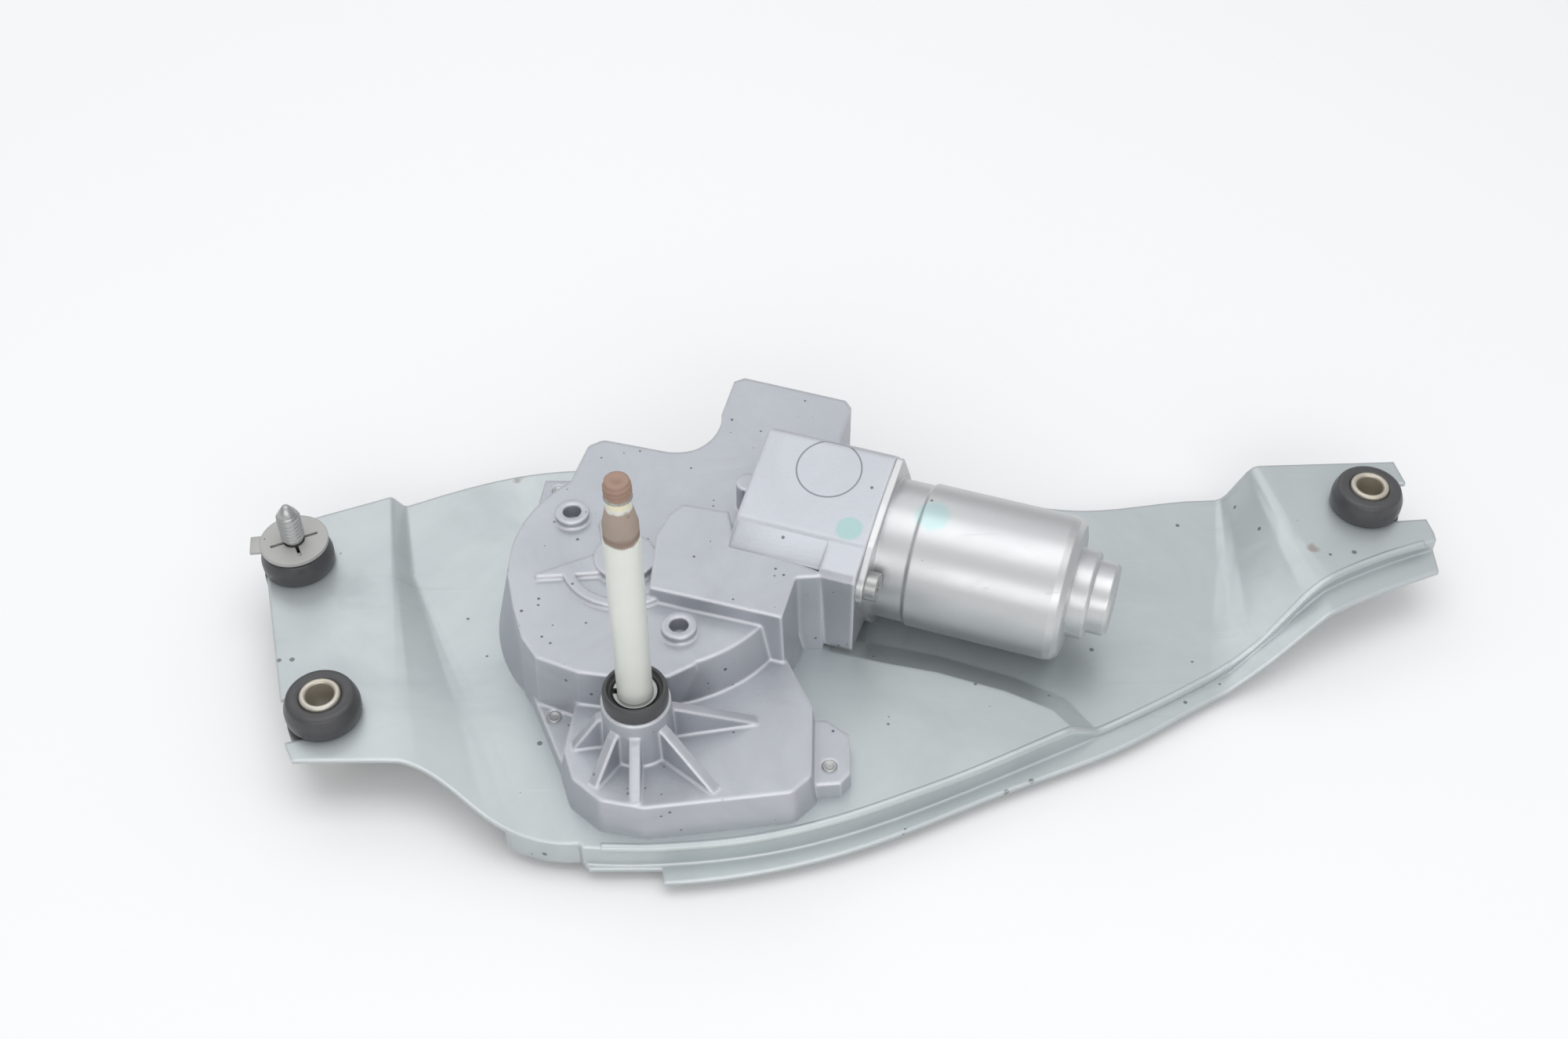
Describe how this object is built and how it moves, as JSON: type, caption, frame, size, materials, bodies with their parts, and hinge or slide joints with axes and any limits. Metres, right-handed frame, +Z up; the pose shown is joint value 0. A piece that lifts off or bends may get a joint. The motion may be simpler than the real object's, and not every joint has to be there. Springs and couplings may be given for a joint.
{
  "type": "wiper motor",
  "caption": "Rear wiper motor on a pressed steel bracket with a stepped lip: die-cast gear housing, drawn steel motor can, upright splined output shaft, rubber grommets with steel bushes.",
  "frame": {"origin": "on the output shaft's axis, at the foot of its wiper arm thread", "axes": "+Z up along the output shaft, +X along the bracket's length towards its single-grommet end, +Y away from the lip"},
  "size_m": [0.2963, 0.1386, 0.103],
  "materials": {
    "zinc_sheet": "galvanised steel sheet, semi-gloss",
    "cast_metal": "satin die casting",
    "black_plastic": "fine moulded grain",
    "black_rubber": "smooth, slightly glossy",
    "yoke_steel": "bright satin drawn steel",
    "zinc_fastener": "zinc plated",
    "bush_steel": "pale zinc, yellowish in the bore",
    "shaft_steel": "pale coated shaft with a rusty tip",
    "washer_steel": "matte grey",
    "laminated_steel": "stacked sheets",
    "copper_wire": "enamelled copper",
    "brass_contact": "bright contact brass",
    "ferrite": "dark sintered ferrite",
    "carbon": "pressed carbon",
    "gear_plastic": "natural gear plastic",
    "sintered_bronze": "porous bronze",
    "board_green": "circuit board"
  },
  "bodies": {
    "base": {"mounting_bracket": "zinc_sheet", "gear_housing": "cast_metal", "bottom_cover": "black_plastic", "connector_shell": "black_plastic", "cover_gasket": "black_rubber", "connector_pins": "brass_contact", "circuit_board": "board_green", "contact_springs": "brass_contact", "motor_yoke": "yoke_steel", "yoke_screws": "zinc_fastener", "magnets": "ferrite", "brush_holder": "black_plastic", "carbon_brushes": "carbon", "brush_springs": "zinc_fastener", "rear_bearing": "sintered_bronze", "front_bearing": "sintered_bronze", "end_bearing": "sintered_bronze", "thrust_ball": "yoke_steel", "wheel_pin": "zinc_fastener", "shaft_bush_upper": "sintered_bronze", "shaft_bush_lower": "sintered_bronze", "thrust_washer": "black_plastic", "shaft_seal": "black_rubber", "grommet_front_left": "black_rubber", "grommet_rear_left": "black_rubber", "grommet_right": "black_rubber", "bush_front_left": "bush_steel", "bush_rear_left": "bush_steel", "bush_right": "bush_steel", "mounting_bolt": "zinc_fastener", "retaining_washer": "washer_steel", "housing_screws": "zinc_fastener"},
    "armature": {"armature_shaft": "shaft_steel", "armature_core": "laminated_steel", "armature_windings": "copper_wire", "commutator": "brass_contact"},
    "wheel": {"worm_wheel": "gear_plastic", "crank_pin": "zinc_fastener", "contact_plate": "brass_contact"},
    "output": {"output_shaft": "shaft_steel", "output_pinion": "zinc_fastener", "retaining_ring": "zinc_fastener"},
    "holder": {"holder_link": "zinc_fastener", "sector_pin": "zinc_fastener"},
    "sector": {"sector_link": "zinc_fastener"}
  },
  "joints": [
    {"name": "armature_spin", "type": "hinge", "parent": "base", "child": "armature", "pos_m": [0.05742, 0.05694, -0.0747], "axis": [0.9483, -0.3173, 0], "continuous": true},
    {"name": "wheel_turn", "type": "hinge", "parent": "base", "child": "wheel", "pos_m": [-0.004, 0.0448, -0.0747], "axis": [0, 0, 1], "continuous": true},
    {"name": "output_swing", "type": "hinge", "parent": "base", "child": "output", "pos_m": [0, 0, -0.068], "axis": [0, 0, 1], "range_deg": [-57, 57]},
    {"name": "holder_swing", "type": "hinge", "parent": "base", "child": "holder", "pos_m": [0, 0, -0.0812], "axis": [0, 0, 1], "range_deg": [-21.5, 21.5]},
    {"name": "sector_turn", "type": "hinge", "parent": "holder", "child": "sector", "pos_m": [0.02152, 0.00457, -0.0835], "axis": [0, 0, 1], "range_deg": [-21.5, 21.5]}
  ],
  "couplings": [
    {"joint": "wheel_turn", "follows": "armature_spin", "ratio": 0.016667},
    {"joint": "holder_swing", "follows": "output_swing", "ratio": 0.36364},
    {"joint": "sector_turn", "follows": "output_swing", "ratio": -0.36364}
  ]
}
